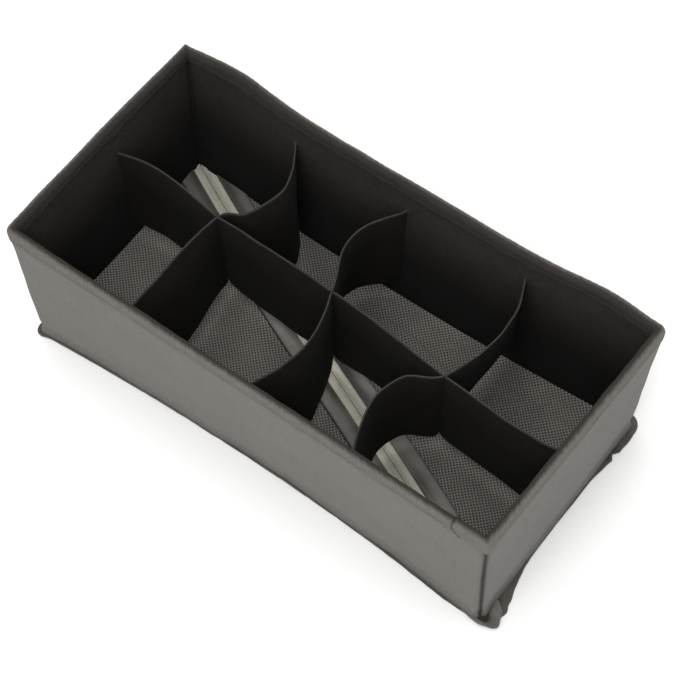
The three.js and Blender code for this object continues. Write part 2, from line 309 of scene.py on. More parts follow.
# ---- materials
class Shader:
    """A small helper that adds and links the nodes of one material."""

    def __init__(self, name, roughness, **sockets):
        self.material = bpy.data.materials.new(name)
        self.material.use_nodes = True
        self.nodes = self.material.node_tree.nodes
        self.links = self.material.node_tree.links
        self.bsdf = self.nodes["Principled BSDF"]
        self.bsdf.inputs["Roughness"].default_value = roughness
        for socket, value in sockets.items():
            self.bsdf.inputs[socket.replace("_", " ")].default_value = value
        self.place = self.add("ShaderNodeTexCoord").outputs["Object"]

    def add(self, kind, inputs=(), **settings):
        node = self.nodes.new(kind)
        for key, value in settings.items():
            setattr(node, key, value)
        for socket, value in dict(inputs).items():
            self.put(node.inputs[socket], value)
        return node

    def put(self, socket, value):
        if isinstance(value, bpy.types.NodeSocket):
            self.links.new(value, socket)
        else:
            socket.default_value = value

    def math(self, operation, a, b=0.0, clamp=False):
        node = self.add("ShaderNodeMath", {0: a, 1: b}, operation=operation, use_clamp=clamp)
        return node.outputs[0]

    def plus(self, a, b, times=1.0, clamp=False):
        """a + b * times."""
        return self.math("ADD", a, self.math("MULTIPLY", b, times), clamp)

    def centred(self, value, times):
        """A value from 0 to 1 moved to lie about zero, times a number."""
        return self.math("MULTIPLY", self.math("SUBTRACT", value, 0.5), times)

    def vary(self, light, value, times):
        """Light made uneven by a value from 0 to 1."""
        return self.math("ADD", light, self.centred(value, times))

    def tone(self):
        """The mesh's tone attribute, from 0 to 1, which mixes in a second colour; in most pieces that is
        painted shade or painted highlight.
        """
        return self.add("ShaderNodeAttribute", attribute_name="tone").outputs["Fac"]

    def xyz(self, vector):
        return self.add("ShaderNodeSeparateXYZ", {0: vector}).outputs

    def turned(self, angle, scale=(1, 1, 1)):
        inputs = {"Vector": self.place, "Rotation": (0, 0, angle), "Scale": scale}
        return self.add("ShaderNodeMapping", inputs).outputs[0]

    def cloud(self, size_mm, detail=3, vector=None):
        """Noise from 0 to 1 with features about size_mm across."""
        inputs = {"Vector": vector or self.place, "Scale": 1 / (size_mm * MM), "Detail": detail}
        return self.add("ShaderNodeTexNoise", inputs).outputs["Fac"]

    def wave(self, value, pitch_mm):
        """Sine of a coordinate, from -1 to 1, that repeats each pitch."""
        return self.math("SINE", self.math("MULTIPLY", value, 2 * math.pi / (pitch_mm * MM)))

    def mix(self, factor, a, b):
        node = self.add("ShaderNodeMix", data_type="RGBA")
        self.put(node.inputs["Factor"], factor)
        self.put(node.inputs["A"], a)
        self.put(node.inputs["B"], b)
        return node.outputs["Result"]

    def scaled(self, colour, amount):
        """Colour times a number that varies over the surface."""
        colour = colour if isinstance(colour, bpy.types.NodeSocket) else colour[:3]
        node = self.add("ShaderNodeVectorMath", {0: colour, "Scale": amount}, operation="SCALE")
        return node.outputs[0]

    def finish(self, colour, height, distance_mm, roughness=None):
        self.put(self.bsdf.inputs["Base Color"], colour)
        inputs = {"Height": height, "Distance": distance_mm * MM, "Strength": 1.0}
        relief = self.add("ShaderNodeBump", inputs)
        self.put(self.bsdf.inputs["Normal"], relief.outputs[0])
        if roughness is not None:
            self.put(self.bsdf.inputs["Roughness"], roughness)
        return self.material


def rgb(r, g, b):
    return (r, g, b, 1.0)


def nonwoven(name, colour, second, upright=True, dots=0.10, blotch=0.16, relief=0.10, sheen=0.08,
             gloss=0.2, grain=0.45, frayed=0.0):
    """Spun-bonded cloth: an embossed grid of small dots, tangled fibres and cloudy density. frayed
    draws short streaks over an edge between the two colours."""
    pitch, roughness, mottle = 1.1, 0.93, 0.3
    s = Shader(name, roughness, Sheen_Weight=sheen, Sheen_Roughness=0.45, Specular_IOR_Level=gloss)
    x, y, z = s.xyz(s.place)
    if upright:  # one running length round the upright walls, and the height
        u, v = s.math("ADD", x, y), z
    else:
        u, v = x, y
    wobble = s.centred(s.cloud(14), 0.0012)
    a, b = s.math("ADD", u, wobble), s.math("SUBTRACT", v, wobble)
    if upright:
        a, b = s.math("ADD", a, b), s.math("SUBTRACT", a, b)
    pits = s.math("ABSOLUTE", s.math("MULTIPLY", s.wave(a, 2 * pitch), s.wave(b, 2 * pitch)))
    squeezed = s.add("ShaderNodeMapping", {"Vector": s.place, "Scale": (1, 1, 0.6)}).outputs[0]
    fibres, clouds, patches = s.cloud(0.7, 4, squeezed), s.cloud(34, 4), s.cloud(5, 3)
    light = s.vary(1.0, clouds, 2 * blotch)
    light = s.vary(light, patches, 1.1 * blotch)
    light = s.vary(light, fibres, 2 * grain)
    light = s.vary(light, s.cloud(1.7, 2), mottle)
    light = s.plus(light, s.math("SUBTRACT", 0.45, pits), 2 * dots)
    tone = s.tone()
    ragged = s.centred(s.cloud(1.6, 3), 0.3)
    if frayed:
        lean = s.plus(s.math("ADD", x, y), z, 0.3)
        streak = s.add("ShaderNodeCombineXYZ", {0: lean, 1: s.math("MULTIPLY", z, 0.2)}).outputs[0]
        ragged = s.vary(ragged, s.cloud(1.1, 2, streak), frayed)
    edge = s.math("MULTIPLY", ragged, s.math("MULTIPLY", tone, s.math("SUBTRACT", 1.0, tone)))
    base = s.mix(s.plus(tone, edge, 4.0, clamp=True), colour, second)
    height = s.plus(s.math("MULTIPLY", fibres, 0.7), pits, -0.6)
    dull = s.plus(roughness - 0.06, patches, 0.12, clamp=True)
    return s.finish(s.scaled(base, light), height, relief, dull)


def waffle(name, colour, pit_shade_colour):
    """The floor's non-woven, pressed into a deep grid of square pits between raised ribs, with painted shade
    in the pits.
    """
    pitch = 1.9
    s = Shader(name, 0.92, Sheen_Weight=0.08, Sheen_Roughness=0.4, Specular_IOR_Level=0.15)
    u, v, _ = s.xyz(s.turned(math.radians(45)))
    drift = s.centred(s.cloud(22, 2), 0.0016)
    across, down = (s.wave(s.math("ADD", value, drift), pitch) for value in (u, v))
    pit = s.math("MULTIPLY", s.math("ADD", across, 1.0), s.math("ADD", down, 1.0))
    pit = s.math("MULTIPLY", pit, 0.25)
    fibres, clouds = s.cloud(0.45, 4), s.cloud(24, 3)
    light = s.vary(s.vary(1.0, clouds, 0.5), fibres, 0.5)
    # painted shade: the pits are mixed towards the dark pit colour
    base = s.mix(s.math("POWER", pit, 0.62), colour, pit_shade_colour)
    height = s.math("SUBTRACT", s.math("MULTIPLY", fibres, 0.25), pit)
    return s.finish(s.scaled(base, light), height, 0.5)


def satin(name, colour, second):
    """Smooth calendered cloth with fine lengthwise ribs and a soft sheen."""
    s = Shader(name, 0.5, Sheen_Weight=0.3, Sheen_Roughness=0.3, Specular_IOR_Level=0.55)
    along, across, _ = s.xyz(s.turned(ZIP_ANGLE))
    ribs, weft = s.wave(across, 0.45), s.wave(along, 0.6)
    clouds, streaks = s.cloud(12, 3), s.cloud(2.4, 3, s.turned(ZIP_ANGLE, (0.12, 1, 1)))
    light = s.vary(s.plus(0.78, clouds, 0.34), streaks, 0.3)
    light = s.plus(light, ribs, 0.03)
    base = s.mix(s.tone(), colour, second)
    height = s.plus(s.math("MULTIPLY", ribs, 0.3), weft, 0.15)
    height = s.plus(height, s.cloud(0.6, 3), 0.6)
    return s.finish(s.scaled(base, light), height, 0.05, s.plus(0.42, clouds, 0.22))


def woven_tape(name, colour, groove_and_gap_shade):
    """Zip tape: a fine herringbone along the tape, darker in its sewn grooves and with painted shade along
    the edge where the two tapes meet.
    """
    s = Shader(name, 0.62, Sheen_Weight=0.35, Sheen_Roughness=0.35, Specular_IOR_Level=0.4)
    along, across, _ = s.xyz(s.turned(ZIP_ANGLE))
    zig = s.math("PINGPONG", across, 0.0011)
    twill = s.wave(s.plus(along, zig, 1.4), 0.55)
    warp_threads = s.wave(across, 0.34)
    light = s.plus(0.86, s.cloud(9, 3), 0.26)
    light = s.plus(light, twill, 0.05)
    light = s.vary(light, s.cloud(0.4, 3), 0.16)
    base = s.mix(s.tone(), colour, groove_and_gap_shade)
    height = s.plus(s.math("MULTIPLY", twill, 0.5), warp_threads, 0.25)
    return s.finish(s.scaled(base, light), height, 0.07)


def moulded(name, colour, roughness, size=1.2, relief=0.02, **sockets):
    """Drawn nylon, thread or board: small mottling, a fine grain and uneven gloss."""
    s = Shader(name, roughness, **sockets)
    mottle, grain = s.cloud(size, 3), s.cloud(size / 6, 3)
    dull = s.plus(roughness - 0.08, grain, 0.16, clamp=True)
    return s.finish(s.scaled(colour, s.plus(0.8, mottle, 0.4)), grain, relief, dull)


def plated(name, colour):
    """Plated zinc: brushed along the zip, rubbed brighter in patches."""
    s = Shader(name, 0.34, Metallic=1.0)
    scratches = s.cloud(0.8, 4, s.turned(ZIP_ANGLE, (0.1, 1, 1)))
    patches = s.cloud(3, 3)
    light, dull = s.plus(0.75, patches, 0.45), s.plus(0.22, scratches, 0.28)
    return s.finish(s.scaled(colour, light), scratches, 0.015, dull)


TAUPE = rgb(0.134, 0.127, 0.116)
CHARCOAL = rgb(0.031, 0.0268, 0.0237)
# the outer cloth's second colour is painted shade: at the foot, under the hem, inside the corner rolls, and
# on the corner tab and backing
OUTER = nonwoven("outer_cloth", TAUPE, rgb(0.024, 0.0225, 0.020), dots=0.06, blotch=0.09)
# the lining's second colour is painted shade: darker towards the bottom and down each inner corner
LINING = nonwoven("lining_cloth", CHARCOAL, rgb(0.0058, 0.0053, 0.0050), dots=0.10, blotch=0.25, relief=0.14,
                  sheen=0.03, gloss=0.05, grain=0.7)
# the hem's second colour is the lining's charcoal on its inner half, and painted shade along the lapped end
# of the hem overlap
HEM = nonwoven("hem_cloth", TAUPE, CHARCOAL, dots=0.07, blotch=0.12, relief=0.18, sheen=0.05, gloss=0.1,
               frayed=1.3)
# the seam cloth's second colour is painted shade, under the walls and in the flange's folds
SEAM = nonwoven("seam_cloth", rgb(0.082, 0.077, 0.069), rgb(0.03, 0.028, 0.025), upright=False, dots=0.08)
# the divider's second colour is lighter: painted highlights on its edges and painted light towards the top
DIVIDER = nonwoven("divider_cloth", rgb(0.0088, 0.0080, 0.0070), rgb(0.045, 0.042, 0.038), dots=0.12,
                   blotch=0.2, relief=0.14, sheen=0.02, gloss=0.04, grain=0.7)
# the floor's second colour is painted shade in the waffle's pits
FLOOR = waffle("floor_cloth", rgb(0.205, 0.19, 0.173), rgb(0.012, 0.011, 0.010))
# the facing's second colour is painted shade: a line in the gap at its far edge and a band by the zip
FACING = satin("facing_cloth", rgb(0.18, 0.169, 0.151), rgb(0.012, 0.011, 0.010))
# the tape's second colour darkens its grooves and is painted shade at the gap between the two tapes
TAPE = woven_tape("tape_cloth", rgb(0.60, 0.57, 0.48), rgb(0.085, 0.078, 0.05))
COIL = moulded("coil_nylon", rgb(0.55, 0.52, 0.43), 0.4, Specular_IOR_Level=0.5)
THREAD_DARK = moulded("dark_thread", rgb(0.028, 0.026, 0.023), 0.7, 0.6)
THREAD_TAUPE = moulded("taupe_thread", rgb(0.115, 0.108, 0.097), 0.7, 0.6)
BOARD = moulded("grey_board", rgb(0.30, 0.215, 0.125), 0.9, 4.0, 0.1)
METAL = plated("plated_metal", rgb(0.36, 0.35, 0.33))


# ---- walls
# The walls are two equal halves, each of a long wall and a short one that turn a folded corner
# between them. A half is drawn as the front and left walls, and the other is that turned by half.
HALVES = {
    "front_left": {"half_turn": False, "long": "front", "short": "left", "seed": 1},
    "back_right": {"half_turn": True, "long": "back", "short": "right", "seed": 5},
}


def half_line(depth, spacing=3.0):
    """Plan line of a half at a depth inside the rim, mitred at both ends: (points, 2)."""
    along = np.linspace(0, 1, int(2 * RIM_X / spacing) + 1)[:, None]
    across = np.linspace(0, 1, int(2 * RIM_Y / spacing) + 1)[:, None]
    start, end = np.array([RIM_X - depth, -RIM_Y + depth]), np.array([-RIM_X + depth, RIM_Y - depth])
    turn_in = np.array([-RIM_X + CORNER_R, -RIM_Y + depth])
    turn_out = np.array([-RIM_X + depth, -RIM_Y + CORNER_R])
    angle = np.radians(np.linspace(270, 180, 13))[1:-1, None]
    centre = np.array([-RIM_X + CORNER_R, -RIM_Y + CORNER_R])
    arc = centre + (CORNER_R - depth) * np.hstack([np.cos(angle), np.sin(angle)])
    return np.vstack([start + (turn_in - start) * along, arc, turn_out + (end - turn_out) * across])


def turn_with_corner(obj):
    """Bakes a piece's placement into its mesh. The folded corner of its half is where the two walls' joint
    is.
    """
    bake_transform(obj)


def half_sheet(name, half, grid, thick, material, part, tone=None):
    """A sheet of cloth round a half, in place of the same CAD part of both its walls."""
    obj = sheet_object(name, grid, thick, material, tone=tone, half_turn=half["half_turn"])
    turn_with_corner(obj)
    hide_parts(half["long"] + part, half["short"] + part)
    return obj


def roll_end(corner, ahead, inside):
    """Points of a seam's roll: the cloth turns in by 135 degrees just short of the corner."""
    ahead, inside, gap = np.array(ahead, float), np.array(inside, float), 0.8
    centre = np.array(corner) - ahead * (ROLL_R / math.tan(math.pi / 8) + gap) + inside * ROLL_R
    angle = np.radians(np.linspace(0, 135, 11))[:, None]
    turn = centre + ROLL_R * (-inside * np.cos(angle) + ahead * np.sin(angle))
    tail = turn[-1] + (inside - ahead) / math.sqrt(2) * np.array([[0.4], [0.8]])
    return np.vstack([turn, tail])


def outer_line(depth):
    """Plan line of a half's outer cloth, ending in a roll at each sewn corner."""
    body = half_line(depth)
    first = roll_end((RIM_X - depth, -RIM_Y + depth), (1, 0), (0, 1))[::-1]
    last = roll_end((-RIM_X + depth, RIM_Y - depth), (0, 1), (1, 0))
    inner = body[(body[:, 0] < first[-1][0] - 1) & (body[:, 1] < last[0][1] - 1)]
    return np.vstack([first, inner, last])


def lift_grid(line, heights):
    """A plan line (points, 2) raised to each height: (points, heights, 3)."""
    grid = np.zeros((len(line), len(heights), 3))
    grid[:, :, :2] = line[:, None, :]
    grid[:, :, 2] = heights
    return grid


def from_corners(grid):
    """Distance of each point from the nearer sewn corner, front right or back left."""
    right = np.hypot(grid[..., 0] - RIM_X, grid[..., 1] + RIM_Y)
    left = np.hypot(grid[..., 0] + RIM_X, grid[..., 1] - RIM_Y)
    return np.minimum(right, left)


def outer_skin(name, half):
    """A half's outer cloth, tucked in under the hem, with a roll at each sewn corner."""
    heights = np.concatenate([np.linspace(1.4, 12, 7), np.linspace(16, 104, 30), np.linspace(107, 116, 5)])
    grid = lift_grid(outer_line(OUTER_DEPTH), heights)
    normal, z = plan_normals(grid[:, 0, :2])[:, None, :], grid[..., 2]
    corner, seed = from_corners(grid), half["seed"]
    push = 0.55 * rough(grid, 70, seed) + 0.25 * rough(grid, 22, seed + 1)
    push += 0.8 * bump(corner, 6, 5) * smooth(112, 100, z)
    push += 1.3 * smooth(7, 1.4, z) - 0.7 * bump(z, 9, 4)
    push -= 0.5 * smooth(108, 113, z)
    along = np.repeat(lengths(grid[:, 0, :2])[:, None], len(heights), axis=1)
    ripple = np.sin(along / 2.1 + 3 * rough(grid, 18, seed + 2)) * bump(z, 109.5, 4)
    push += 0.22 * ripple + 0.3 * np.sin(along / 5.3) * rough(grid, 30, seed + 3) * bump(z, 5, 6)
    push *= smooth(0, 3, corner - 2.2) * 0.999 + 0.001
    grid[..., :2] += normal * push[..., None]
    grid[..., 2] += 1.3 * rough(grid, 60, seed + 4) * smooth(8, 2, z) * smooth(4, 14, corner)
    run = np.minimum(along, along[-1] - along)
    tone = 0.35 * smooth(5.5, 2, z) + 0.1 * bump(z, 109.5, 1.6)  # painted shade at the foot and in a line under the hem's edge
    tone = tone + smooth(3.6, 2.2, run) * smooth(112, 108, z)  # painted shade inside each roll
    obj = half_sheet(name, half, grid, OUTER_THICK, OUTER, "_outer_panel", tone)


def hem_profile():
    """Across the hem from its outer lower edge over the rim to its inner one: depths, heights, shares."""
    middle, radius = WALL / 2, WALL / 2 - HEM_THICK / 2
    spring = TOP - HEM_THICK / 2 - radius  # where the legs end and the round crown starts
    legs = np.linspace(HEM_LOW + 0.3, spring, 9)
    angle = np.radians(np.linspace(180, 0, 15))[1:-1]
    leg = np.full(len(legs), radius)
    depth = middle + np.concatenate([-leg, radius * np.cos(angle), leg])
    height = np.concatenate([legs, spring + radius * np.sin(angle), legs[::-1]])
    steps = np.hypot(np.diff(depth), np.diff(height))
    share = np.concatenate([[0], np.cumsum(steps)])
    return depth, height, share / share[-1]


def rim_hem(name, half):
    """A half's rim hem: a strip folded over the rim, gathered by its stitches and puckered on top."""
    depth, height, share = hem_profile()
    spacing, seed = 1.5, half["seed"]
    grid = np.stack([lift_grid(half_line(d, spacing), [h])[:, 0] for d, h in zip(depth, height)], axis=1)
    s = np.repeat(lengths(half_line(0, spacing))[:, None], len(depth), axis=1)
    rise = smooth(HEM_LOW, TOP, height)[None, :]
    inner = smooth(0.55, 0.75, share)[None, :]
    outer = 1 - smooth(0.3, 0.45, share)[None, :]
    crown = bump(share, 0.5, 0.16)[None, :]
    gathers = np.sin(s * 2 * math.pi / 3.0 + 1.6 * rough(grid, 12, seed)) * bump(height, 113.4, 1.6)[None, :]
    move = 0.16 * gathers * (inner + outer)
    move += 0.28 * rough(grid, 9, seed + 1) * inner + 0.2 * rough(grid, 14, seed + 2) * outer
    puckers = np.sin(s * 2 * math.pi / 4.2 + 2.5 * rough(grid, 15, seed + 7))
    move += (0.25 * rough(grid, 26, seed + 3) + 0.16 * rough(grid, 4, seed + 4) + 0.14 * puckers) * crown
    move -= 0.3 * bump(height, STITCH_Z, 0.9)[None, :] * (inner + outer)
    grid -= grid_normals(grid) * move[..., None]
    grid[..., 2] += 0.9 * rough(grid, 75, seed + 5) * rise
    grid[..., 2] += 1.0 * rough(grid, 10, seed + 6) * bump(share, 1.0, 0.12)[None, :]
    if half["half_turn"]:  # at the back left corner this hem starts a little lower
        grid[..., 2] -= 0.7 * smooth(13, 1, s) * rise
    else:  # and this one runs up into a tip
        grid[..., 2] += 0.5 * smooth(9, 0, s[-1:, :] - s) * rise
    ramp = np.broadcast_to(smooth(0.39, 0.55, share), s.shape)
    thick = np.full(ramp.shape, HEM_THICK)
    thick[:, [0, -1]] = 0.45  # thinner at both cut edges
    obj = half_sheet(name, half, grid, thick, HEM, "_rim_hem", ramp)


def lining_pinches(half):
    """Where divider ends are caught in a half's lining, as plan points before the half turn."""
    sign = -1 if half["half_turn"] else 1
    end = -1 if half["long"] == "front" else 0
    points = [sign * np.array(route[end]) for route in CROSS_ROUTES.values()]
    points.append(sign * np.array(LONG_ROUTE[0 if half["short"] == "left" else -1]))
    return points


def lining(name, half):
    """A half's lining, pulled in where divider ends are caught in it."""
    heights = np.concatenate([np.linspace(LINING_LOW, 90, 34), np.linspace(91.5, 118, 20)])
    line = half_line(LINING_TO - LINING_THICK / 2, 2.0)
    line[0] += (0.25, 0.0)  # both ends run into the next wall's lining, so no gap is left at the seam
    line[-1] += (0.0, 0.25)
    grid = lift_grid(line, heights)
    normal, z = plan_normals(grid[:, 0, :2])[:, None, :], grid[..., 2]
    corner, seed = from_corners(grid), half["seed"] + 20
    push = 0.45 * rough(grid, 55, seed) + 0.16 * rough(grid, 16, seed + 1)
    for spot in lining_pinches(half):
        away = np.hypot(grid[..., 0] - spot[0], grid[..., 1] - spot[1])
        ridge = bump(away, 0, 1.9) * smooth(DIVIDER_LOW - 4, DIVIDER_LOW + 2, z) * smooth(101, 96, z)
        rays = np.sin(np.arctan2(z - 95, away + 0.5) * 9) * bump(np.hypot(away, z - 97), 4, 5)
        push -= 0.95 * ridge + 0.35 * rays
    push = np.clip(push, -1.1, 0.7) * smooth(0, 5, corner - WALL)
    grid[..., :2] += normal * push[..., None]
    # painted shade: darker towards the bottom of the box and in a line down each inner sewn corner
    tone = np.clip(0.92 * smooth(110, 40, z) + bump(corner, LINING_TO * 1.35, 1.3), 0, 1)
    obj = half_sheet(name, half, grid, LINING_THICK, LINING, "_lining", tone)


def stiffener(side):
    """The board inside a wall: a plain rectangle with eased corners, short of the folded corners."""
    low, high = box_mm(side + "_stiffener_board")
    long_wall = side in ("front", "back")
    short, ease = 6.0, 3.0  # how far short each end stops, and the radius of the corners
    half = (high - low)[0 if long_wall else 1] / 2 - short
    run, share = np.linspace(-half, half, 40), np.linspace(0, 1, 16)
    tuck = ease * (1 - np.sqrt(np.clip(1 - ((np.abs(run) - half + ease) / ease).clip(0, 1) ** 2, 0, 1)))
    grid = np.zeros((len(run), len(share), 3))
    bottom, top = low[2] + ease + tuck, high[2] - ease - tuck
    grid[..., 2] = bottom[:, None] + (top - bottom)[:, None] * share[None, :]
    x = run[:, None]
    y = 0.12 * np.sin(x / 31) - ((RIM_Y if long_wall else RIM_X) - BOARD_DEPTH)
    turn = math.radians({"front": 0, "right": 90, "back": 180, "left": 270}[side])
    c, s = round(math.cos(turn)), round(math.sin(turn))
    grid[..., 0], grid[..., 1] = c * x - s * y, s * x + c * y
    obj = sheet_object("stiffener_" + side, grid, BOARD_THICK, BOARD)
    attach(obj, side + "_wall")
    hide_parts(side + "_stiffener_board")


FLANGE_REACH = {  # how far the flange stands out at distances run from the half's first sewn corner
    "front": [(0, 0.8), (8, 1.8), (25, 3.0), (45, 2.4), (80, 1.6), (150, 1.3), (340, 1.2), (350, 2.6),
              (358, 1.5), (518, 1.8)],
    "back": [(0, 2), (330, 2), (344, 4.6), (352, 5.0), (372, 4.4), (376, 1.4), (380, 3.4), (400, 0.9),
             (440, 0.5), (466, 0.6), (472, 1.2), (488, 4.6), (500, 8.5), (508, 9.5), (514, 7), (518, 3)],
}
# Where the flange is folded, with painted shade in each fold: distances run, and how far across it as a
# share.
FLANGE_FOLDS = {"front": [(24, 0.5), (349, 0.25)], "back": [(376, 0.4), (504, 0.3)]}
FLANGE_INSIDE = 1.4  # how far the flange reaches in under the walls
TAB_OUTLINE = [  # the tab's free edge, from the rim's front right corner
    (-14, -1.2), (-7, -2.4), (0, -2.4), (6, -1.0), (9.2, 0.8), (10.2, 4.5), (10, 9), (7, 13.5), (2, 17),
]


def flange_sheet(name, base, normal, reach, folds, seed, material, lift=0.0, half_turn=False):
    """Two cloth edges sewn together that stand out from a base line, as far as reach says there."""
    share = np.linspace(0, 1, 11)
    run = lengths(base)
    flat = np.column_stack([base, np.zeros(len(base))])
    ragged = reach * (1.0 + 0.14 * rough(flat, 17, seed) + 0.09 * rough(flat, 5, seed + 1))
    step = share[None, :] * (ragged[:, None] + FLANGE_INSIDE) - FLANGE_INSIDE
    grid = np.zeros((len(base), len(share), 3))
    grid[..., :2] = base[:, None, :] + normal[:, None, :] * step[..., None]
    wave = 0.7 + 0.8 * rough(flat, 24, seed + 2) + 0.5 * rough(flat, 8, seed + 3)
    grid[..., 2] = 1.1 + lift + (share**1.5)[None, :] * wave[:, None]
    grid[..., 2] -= 0.25 * bump(share, 0.35, 0.1)[None, :]
    # painted shade where the flange runs in under the walls, with uneven darkening at random
    tone = 0.9 * bump(share, 0.1, 0.2)[None, :] + 0.35 * rough(grid, 12, seed + 4)
    # painted shade in each fold
    for place, middle in folds:
        fold = bump(run, place, 7)[:, None] * bump(share, middle, 0.2)[None, :]
        grid[..., 2] -= 0.6 * fold
        tone = tone + 0.9 * fold
    grid[..., 2] = np.maximum(grid[..., 2], 0.75)
    return sheet_object(name, grid, FLANGE_THICK, material, tone=np.clip(tone, 0, 1), half_turn=half_turn)


def seam_flange(name, half):
    """The bottom seam allowance: cloth edges sewn together and left standing out round the base."""
    line = half_line(0, 2.0)
    run = lengths(line)
    places, reaches = np.array(FLANGE_REACH[half["long"]]).T
    reach = np.interp(run * places[-1] / run[-1], places, reaches)
    obj = flange_sheet(name, line, plan_normals(line), reach, FLANGE_FOLDS[half["long"]],
                       half["seed"] + 40, SEAM, half_turn=half["half_turn"])
    turn_with_corner(obj)
    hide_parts(half["long"] + "_bottom_seam", half["short"] + "_bottom_seam")
    return obj


def corner_tab():
    """The flange's spare cloth at the front right corner, which sticks out as a rounded tab."""
    along = np.linspace(TAB_OUTLINE[0][0], TAB_OUTLINE[-1][1], 45)
    base = np.column_stack([np.minimum(along, 0), np.maximum(along, 0)])
    out = spline(TAB_OUTLINE, np.linspace(0, 1, len(along))) - base
    reach = np.linalg.norm(out, axis=1)
    obj = flange_sheet("corner_tab", base + (RIM_X, -RIM_Y), out / reach[:, None], reach, [(15, 0.3)],
                       61, OUTER, lift=1.5)
    blend_front_right(obj)
    return obj


def blend_front_right(obj):
    """Bakes a piece's placement into its mesh. The front and right walls meet at the sewn corner that has a
    joint.
    """
    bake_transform(obj)


def hem_overlap():
    """The hem strip's free end: it comes round the front right corner and is lapped on the front wall."""
    depth, height, share = hem_profile()
    overlap, past = 25, 10  # how far it runs on the front wall, and on the right one
    end = RIM_X - overlap + 6 * smooth(0.45, 0, share) - 2.5 * smooth(0.5, 1, share)  # a slanted cut
    corner = RIM_X - depth
    front_x = end + (corner - end) * np.linspace(0, 1, 24)[:, None]
    right_y = -RIM_Y + depth + (past - depth) * np.linspace(0, 1, 8)[1:, None]
    grid = np.zeros((len(front_x) + len(right_y), len(share), 3))
    grid[..., 0] = np.vstack([front_x, np.broadcast_to(corner, right_y.shape)])
    grid[..., 1] = np.vstack([np.broadcast_to(-RIM_Y + depth, front_x.shape), right_y])
    grid[..., 2] = height[None, :]
    run = grid[..., 0] - end[None, :] + grid[..., 1] + RIM_Y - depth[None, :]
    fade = smooth(past, 2, grid[..., 1] + RIM_Y)
    flare = (0.6 + 0.12 * rough(grid, 5, 7) + 0.2 * rough(grid, 14, 8)) * (0.2 + 0.8 * fade)
    flare += 0.7 * bump(run, 0, 2.2)
    grid += grid_normals(grid) * flare[..., None]
    # painted shade: a dark line along the lapped end, where its edge stands off the wall
    tone = np.clip(smooth(0.40, 0.57, share)[None, :] + 0.95 * bump(run, 0.2, 0.9), 0, 1)
    obj = sheet_object("hem_overlap", grid, OVERLAP_THICK, HEM, tone=tone)
    blend_front_right(obj)


def corner_backing():
    """The seam allowance behind the front right corner's seam, which keeps the corner closed."""
    along, depth = np.linspace(-9, 9, 25), 3.4
    plan = np.column_stack([RIM_X - depth + np.minimum(along, 0), -RIM_Y + depth + np.maximum(along, 0)])
    grid = lift_grid(plan, np.linspace(3, 113, 23))
    grid[..., :2] += 0.15 * rough(grid, 20, 12)[..., None]
    # painted shade: the whole backing is mixed part way to the outer cloth's dark second colour, as it lies
    # behind the seam
    tone = np.full(grid.shape[:2], 0.6)
    obj = sheet_object("corner_backing", grid, BACKING_THICK, OUTER, tone=tone)
    blend_front_right(obj)
    return obj


THREAD_R = 0.2
THREAD_SUNK = 0.12  # how far a stitch's middle line lies inside the cloth's face
HEM_STITCH, FACING_STITCH = (3.0, 1.9), (2.6, 1.8)  # pitch, and the length that shows


def stitch_lines(line, pitch, dash):
    """Short thread runs along a line of points, one for each stitch."""
    run = lengths(line)
    stitches = []
    for start in np.arange(pitch, run[-1] - pitch, pitch):
        where = start + np.linspace(0, 1, 5) * dash
        stitches.append(np.column_stack([np.interp(where, run, line[:, k]) for k in range(3)]))
    return stitches


def hem_stitches(name, half, depth, material):
    """A row of stitches through a half's hem, at a depth inside the rim's outer face."""
    line = half_line(depth)
    flat = np.column_stack([line, np.full(len(line), STITCH_Z)])
    flat[:, 2] += 0.35 * rough(flat, 40, half["seed"] + 60)
    stitches = stitch_lines(flat, *HEM_STITCH)
    obj = tubes_object(name, stitches, THREAD_R, material, half_turn=half["half_turn"])
    turn_with_corner(obj)


def build_walls():
    for side in ("front", "right", "back", "left"):
        stiffener(side)
    corner_pieces = [corner_tab(), corner_backing()]
    for end, half in HALVES.items():
        flange = seam_flange("seam_flange_" + end, half)
        outer_skin("outer_skin_" + end, half)
        rim_hem("rim_hem_" + end, half)
        lining("lining_" + end, half)
        hem_stitches("hem_stitches_outside_" + end, half, THREAD_SUNK, THREAD_TAUPE)
        hem_stitches("hem_stitches_inside_" + end, half, WALL - THREAD_SUNK, THREAD_DARK)
    hem_overlap()


# ---- floor and zip
CREASE_RUN = 2 * HINGE_X * 2 * HINGE_Y / (2 * HINGE_X + 2 * HINGE_Y)
APEX = np.array([-HINGE_X, -HINGE_Y])  # the folded corner, where the crease starts
CREASE_U = float((APEX + CREASE_RUN) @ ZIP_U)  # where the crease meets the zip
APEX_U, APEX_V = float(APEX @ ZIP_U), float(APEX @ ZIP_V)
FLOOR_PARTS = {  # ends of each part's edge along the zip, and whether it is a half turn of front or left
    "front": (-ZIP_HALF, CREASE_U, False),
    "left": (CREASE_U, ZIP_HALF, False),
    "back": (-ZIP_HALF, CREASE_U, True),
    "right": (CREASE_U, ZIP_HALF, True),
}


def floor_band(side, offsets, columns):
    """Plan points of a floor part between distances from the zip, (columns, offsets, 2): as they are
    drawn, before any half turn, and as they really lie."""
    first, last, half_turn = FLOOR_PARTS[side]
    share = np.asarray(offsets, float) / APEX_V
    low = first + (APEX_U - first) * share
    high = last + (APEX_U - last) * share
    along = low[None, :] + (high - low)[None, :] * np.linspace(0, 1, columns)[:, None]
    plan = along[..., None] * ZIP_U + np.broadcast_to(offsets, along.shape)[..., None] * ZIP_V
    return plan, -plan if half_turn else plan


def raised(plan, heights):
    return np.concatenate([plan, np.broadcast_to(heights, plan.shape[:2])[..., None]], axis=2)


